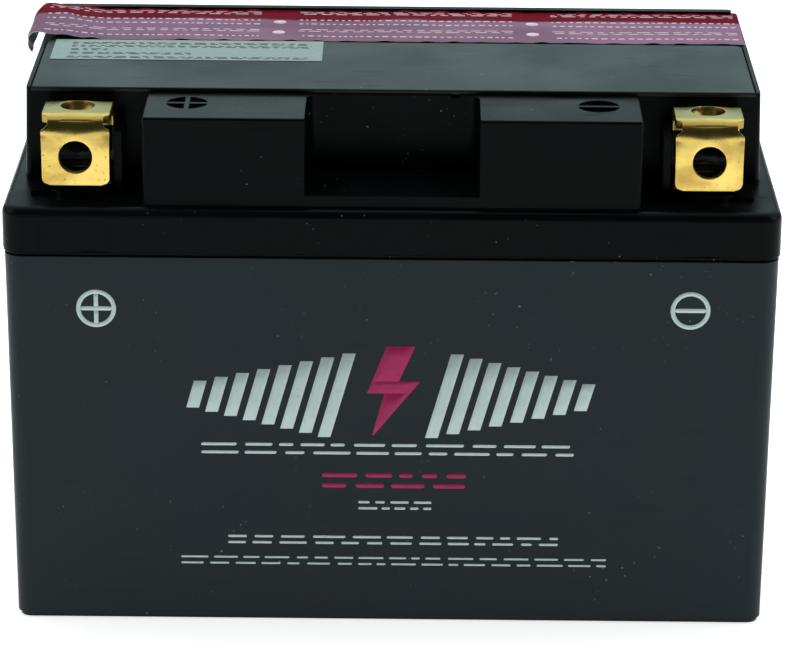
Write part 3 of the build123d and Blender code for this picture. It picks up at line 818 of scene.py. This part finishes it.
def slanted_bar(x, z, width, height, slant):
    """An upright bar that leans to the right by slant times its height."""
    lean = slant * height / 2
    return patch((x - width / 2 - lean, z - height / 2), (x + width / 2 - lean, z - height / 2),
                 (x - width / 2 + lean, z + height / 2), (x + width / 2 + lean, z + height / 2))


def bolt(x, z, half):
    """A plain lightning bolt in three strips that meet edge to edge: a leaning upper one down to the notch, a
    broad middle one, and a spike. The middle strip's ends lie on the straight lines of the outline's long sides,
    so that each long side runs on unbroken."""
    notch, waist, tip = 2.0 * MM, -0.5 * MM, 0.15 * MM
    head, toe, wing, heel = -0.8 * MM, -3.4 * MM, 5.8 * MM, -4.6 * MM
    left = heel + (head - heel) * (notch - waist) / (half - waist)
    right = wing + (toe - wing) * (notch - waist) / (notch + half)

    def strip(low, low_left, low_right, high, high_left, high_right):
        return patch((x + low_left, z + low), (x + low_right, z + low),
                     (x + high_left, z + high), (x + high_right, z + high))

    return [
        strip(notch, left, 1.6 * MM, half, head, 4.8 * MM),
        strip(waist, heel, right, notch, left, wing),
        strip(-half, toe - tip, toe + tip, waist, -1.2 * MM, right),
    ]


class BATTERY_OT_stage(bpy.types.Operator):
    """Set up the camera, the pale floor and the soft studio light"""
    bl_idname = "battery.stage"
    bl_label = "Stage"

    def execute(self, context):
        s = context.scene.battery_stage
        scene = context.scene
        camera = bpy.data.objects.new("camera", bpy.data.cameras.new("camera"))
        camera.data.lens, camera.data.sensor_width, camera.data.sensor_fit = s.lens, 36, "HORIZONTAL"
        camera.data.clip_start, camera.data.clip_end = 0.01, 20
        turn = Matrix.Rotation(s.yaw, 3, "Z") @ Matrix.Rotation(-s.pitch, 3, "X") @ Matrix.Rotation(s.roll, 3, "Y")
        upright = Matrix.Rotation(math.pi / 2, 3, "X")
        camera.matrix_world = Matrix.Translation(s.place) @ (turn @ upright).to_4x4()
        scene.collection.objects.link(camera)
        scene.camera = camera
        scene.view_settings.view_transform = "Standard"

        half = 4.0  # half of the floor's side, in metres
        mesh = bpy.data.meshes.new("floor")
        mesh.from_pydata([(-half, -half, 0), (half, -half, 0), (half, half, 0), (-half, half, 0)], [], [(0, 1, 2, 3)])
        floor = bpy.data.objects.new("floor", mesh)
        scene.collection.objects.link(floor)
        material, tree, shader, place = start_material(
            "opal_acrylic_floor", roughness=0.9, specular_ior_level=0.1, emission_strength=s.glow,
            emission_color=(1, 1, 1, 1),
        )
        mottle = noise(tree, place, 300 * MM, 2)
        base = tuple(s.floor)
        tree.links.new(mixed(tree, mottle, base, shade(base, 0.99)), shader.inputs["Base Color"])
        mesh.materials.append(material)

        softboxes = (
            ("overhead", (0.0, 0.3, 1.1), (math.radians(-14), 0, 0), (1.8, 1.2), 8.0),
            ("left", (-0.75, -0.1, 0.45), (0, math.radians(-62), 0), (0.5, 0.5), 2.0),
            ("right", (0.75, -0.1, 0.45), (0, math.radians(62), 0), (0.5, 0.5), 2.5),
        )
        for name, spot, angles, (wide, deep), power in softboxes:
            light = bpy.data.lights.new(name, "AREA")
            light.shape, light.size, light.size_y, light.energy = "RECTANGLE", wide, deep, power
            lamp = bpy.data.objects.new(name, light)
            lamp.location, lamp.rotation_euler = spot, angles
            scene.collection.objects.link(lamp)

        world = bpy.data.worlds.new("studio")
        world.use_nodes = True
        tree = world.node_tree
        tree.nodes.clear()
        direction = add_node(tree, "ShaderNodeTexCoord").outputs["Generated"]
        facing, height = (
            add_node(
                tree, "ShaderNodeVectorMath", {"operation": "DOT_PRODUCT"}, {0: direction, 1: axis}
            ).outputs["Value"]
            for axis in ((0, 1, 0.35), (0, 0, 1))
        )
        wall = add_node(
            tree, "ShaderNodeMath", {"operation": "MULTIPLY"},
            {0: between(tree, facing, 0.2, 1.0), 1: between(tree, height, 0.12, 0.3)},
        ).outputs[0]
        strength = between(tree, wall, 0, 1, 0.07, 1.2)
        backdrop = add_node(
            tree, "ShaderNodeBackground", inputs={"Color": (*linear("defbff"), 1), "Strength": strength}
        )
        add_node(tree, "ShaderNodeOutputWorld", inputs={"Surface": backdrop.outputs[0]})
        scene.world = world
        return {"FINISHED"}


class BATTERY_PT_panel(bpy.types.Panel):
    """Lists the battery's pieces and their settings"""
    bl_idname = "BATTERY_PT_panel"
    bl_label = "Battery"
    bl_space_type = "VIEW_3D"
    bl_region_type = "UI"
    bl_category = "Battery"

    def draw(self, context):
        for operator in OPERATORS:
            self.layout.operator(operator.bl_idname)
        for name, group in SETTINGS.items():
            box = self.layout.box()
            for key in group.__annotations__:
                box.prop(getattr(context.scene, name), key)


OPERATORS = (
    BATTERY_OT_stage,
    BATTERY_OT_housing,
    BATTERY_OT_inner_parts,
    BATTERY_OT_terminals,
    BATTERY_OT_foil,
    BATTERY_OT_label,
    BATTERY_OT_front_print,
)
CLASSES = (*SETTINGS.values(), *OPERATORS, BATTERY_PT_panel)


def register():
    for cls in CLASSES:
        bpy.utils.register_class(cls)
    for name, group in SETTINGS.items():
        setattr(bpy.types.Scene, name, PointerProperty(type=group))


def unregister():
    for name in SETTINGS:
        delattr(bpy.types.Scene, name)
    for cls in reversed(CLASSES):
        bpy.utils.unregister_class(cls)


def main():
    """Makes every piece in order."""
    register()
    for operator in OPERATORS:
        group, name = operator.bl_idname.split(".")
        getattr(getattr(bpy.ops, group), name)()


if __name__ == "__main__":
    main()
